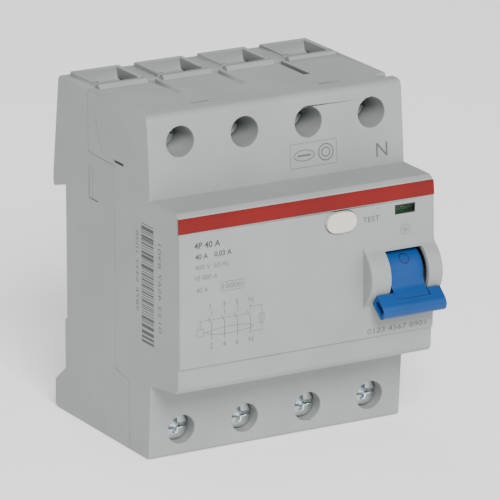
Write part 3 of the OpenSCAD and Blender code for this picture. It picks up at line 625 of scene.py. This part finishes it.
def ink_bar(start, end, thick=0.16):
    """A straight printed line between two (x, z) points in mm."""
    start, end = Vector(start), Vector(end)
    along = end - start
    bpy.ops.object.select_all(action="DESELECT")
    bpy.ops.mesh.primitive_cube_add(size=1)
    bar = bpy.context.object
    side = Vector((-along.y, along.x)).normalized() * thick
    for v in bar.data.vertices:
        flat = start + along * (v.co.x + 0.5) + side * v.co.z
        v.co = Vector((flat.x, v.co.y * 2 * INK / MM, flat.y)) * MM
    return bar


def ink_ring(middle, wide, tall, thick=0.16, corners=32):
    """A printed oval outline as short straight strokes, sizes in mm."""
    at = [(middle[0] + wide / 2 * math.cos(2 * math.pi * i / corners),
           middle[1] + tall / 2 * math.sin(2 * math.pi * i / corners)) for i in range(corners)]
    return [ink_bar(at[i - 1], at[i], thick) for i in range(corners)]


def ink_box(left, low_z, right, high_z, thick=0.16):
    """A printed rectangle's outline, sizes in mm."""
    corners = [(left, low_z), (right, low_z), (right, high_z), (left, high_z)]
    return [ink_bar(corners[i - 1], corners[i], thick) for i in range(4)]


def print_on(strokes, name, place, material, body="housing"):
    """Joins printed strokes into one piece and moves each corner onto the face through place()."""
    bpy.ops.object.select_all(action="DESELECT")
    for stroke in strokes:
        stroke.select_set(True)
    bpy.context.view_layer.objects.active = strokes[0]
    bpy.ops.object.join()
    piece = bpy.context.object
    piece.name = name
    for v in piece.data.vertices:
        v.co = place(v.co)
    piece.data.materials.clear()
    piece.data.materials.append(material)
    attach(piece, body)
    return piece


def on_front(point):
    return Vector((point.x, point.y + front_at(point.z / MM) * MM, point.z))


def on_shoulder(point):
    return Vector((point.x, point.y + shoulder_at(point.z / MM) * MM, point.z))


# ratings and the pole numbers
strokes = [
    ink_text("4P 40 A", -31.0, 16.7, 1.6, bold=0.02),
    ink_text("40 A", -30.8, 14.0, 1.3, bold=0.02),
    ink_text("0,03 A", -25.6, 14.0, 1.5, bold=0.02),
    ink_text("TEST", 15.0, 16.4, 1.3, 4.6),
]
print_on(strokes, "print_ratings", on_front, ink_grey)

strokes = [
    ink_text("400 V", -30.8, 11.4, 1.2),
    ink_text("50 Hz", -25.8, 11.4, 1.2),
    ink_text("10 000 A", -30.8, 8.8, 1.2),
    ink_text("40 A", -30.6, 5.8, 1.2),
    ink_text("10000", -23.4, 5.8, 1.2, 5.2),
    *ink_box(-23.9, 4.7, -17.7, 6.9, 0.12),
    ink_text("1", -26.9, 1.5, 1.3), ink_text("3", -23.4, 1.5, 1.3),
    ink_text("5", -19.9, 1.5, 1.3), ink_text("N", -16.4, 1.5, 1.3),
    ink_text("2", -26.9, -8.3, 1.3), ink_text("4", -23.4, -8.3, 1.3),
    ink_text("6", -19.9, -8.3, 1.3), ink_text("N", -16.4, -8.3, 1.3),
    ink_text("0123 4567 8901", 16.4, -11.7, 1.3, 16.4),
]

# circuit diagram: four poles through the ring core, the relay, and the test branch
POLES_X = (-26.4, -22.9, -19.4, -15.9)
for x in POLES_X:
    strokes.append(ink_bar((x, 0.4), (x, -1.0)))
    strokes.append(ink_bar((x - 0.9, -1.2), (x, -2.7)))
    strokes.append(ink_bar((x, -2.7), (x, -6.8)))
strokes.append(ink_bar((-30.2, -1.9), (-16.3, -1.9), 0.1))
strokes.extend(ink_ring((-21.4, -5.0), 12.4, 1.7, 0.12))
strokes.extend(ink_box(-30.4, -5.7, -28.6, -3.9, 0.12))
strokes.append(ink_bar((-29.5, -3.9), (-29.5, -1.9), 0.12))
strokes.append(ink_bar((-28.6, -4.8), (-27.6, -4.8), 0.12))
strokes.append(ink_bar((-12.8, -0.2), (-12.8, -6.4), 0.12))
strokes.append(ink_bar((-15.9, -0.2), (-12.8, -0.2), 0.12))
strokes.append(ink_bar((-15.9, -6.4), (-12.8, -6.4), 0.12))
strokes.extend(ink_box(-13.4, -4.6, -12.2, -2.4, 0.12))
# cold climate mark under the window: three crossed strokes in a ring
COLD = (26.8, 12.5)
for turn in (0, 60, 120):
    reach = Vector((math.cos(math.radians(turn)), math.sin(math.radians(turn)))) * 0.9
    strokes.append(ink_bar(Vector(COLD) - reach, Vector(COLD) + reach, 0.12))
strokes.extend(ink_ring(COLD, 2.8, 2.8, 0.12, corners=6))
print_on(strokes, "print_diagram", on_front, ink_faint)

# pole letter and two plain approval frames on the upper shoulder
strokes = [
    ink_text("N", 27.2, 28.6, 3.4),
    *ink_box(3.4, 27.1, 16.2, 33.0, 0.12),
    *ink_ring((7.2, 30.0), 5.6, 2.6, 0.22),
    *ink_ring((13.2, 30.1), 4.0, 4.0, 0.3),
    *ink_ring((13.2, 30.1), 2.2, 2.2, 0.3),
    ink_bar((5.4, 30.0), (9.0, 30.0), 0.5),
]
print_on(strokes, "print_shoulder", on_shoulder, ink_faint)

# bar code on the left side, read from below upwards
SIDE_INK = 0.005 * MM
CODE_LOW_Z, CODE_HIGH_Z = -10.6, 18.7
CODE_FRONT_Y, CODE_REAR_Y = -45.5, -39.5
random.seed(11)
strokes = []
z = CODE_LOW_Z
while z < CODE_HIGH_Z:
    thick = random.choice((0.22, 0.22, 0.44, 0.66))
    strokes.append(ink_bar((CODE_FRONT_Y, z), (CODE_REAR_Y, z), thick))
    z += thick + random.choice((0.22, 0.22, 0.44))


def on_side(point):
    """From (depth, -, height) strokes to the left end face."""
    return Vector((-half_width + point.y / INK * SIDE_INK, point.x, point.z))


print_on(strokes, "print_bar_code", on_side, ink_grey)


def up_the_side(start_y, start_z):
    """Words that run along X are turned to run up the left end face from the given place in mm."""
    return lambda point: Vector((-half_width + point.y / INK * SIDE_INK,
                                 start_y * MM - point.z, start_z * MM + point.x))


print_on([ink_text("0123 4567 8901", 0, 0, 1.5, 22.0)], "print_code_front", up_the_side(-48.4, -6.6),
         ink_faint)
print_on([ink_text("9876 5432 1098", 0, 0, 1.3, 20.0)], "print_code_rear", up_the_side(-37.4, -4.0),
         ink_faint)

# ring and bar carved into the toggle's barrel, drawn as a thin sheet on its surface whose dark blue is painted
# shade of the cut
BARREL = (-54.8, 1.8)
BARREL_R = 5.75
SYMBOL_X = 25.9
SYMBOL_TURN = math.radians(42)
# Painted shade: the same blue, darkened as the carved cut's shadow.
painted_cut_shade = moulded("blue polyamide darkened as painted shade in a cut", "#01152F", "#01122A", 0.5, grain=0.5 * MM)


def on_barrel(point):
    """Wraps a flat stroke round the barrel: X stays, height becomes an angle."""
    turn = SYMBOL_TURN + point.z / (BARREL_R * MM)
    radius = BARREL_R * MM - point.y
    return Vector((point.x, BARREL[0] * MM - radius * math.cos(turn),
                   BARREL[1] * MM + radius * math.sin(turn)))


strokes = ink_ring((SYMBOL_X, 0), 2.4, 2.7, 0.3, corners=24)
strokes.append(ink_bar((SYMBOL_X, -0.65), (SYMBOL_X, 0.65), 0.34))
print_on(strokes, "toggle_symbol", on_barrel, painted_cut_shade, body="toggle")

# ---------------------------------------------------------------- rail clips
# Two black polyamide slides hook under the rail; a steel spring pushes each one home.
for side in ("left", "right"):
    show_node(f"din_clip_{side}", inner_black)
    show_node(f"clip_spring_{side}", spring_wire)
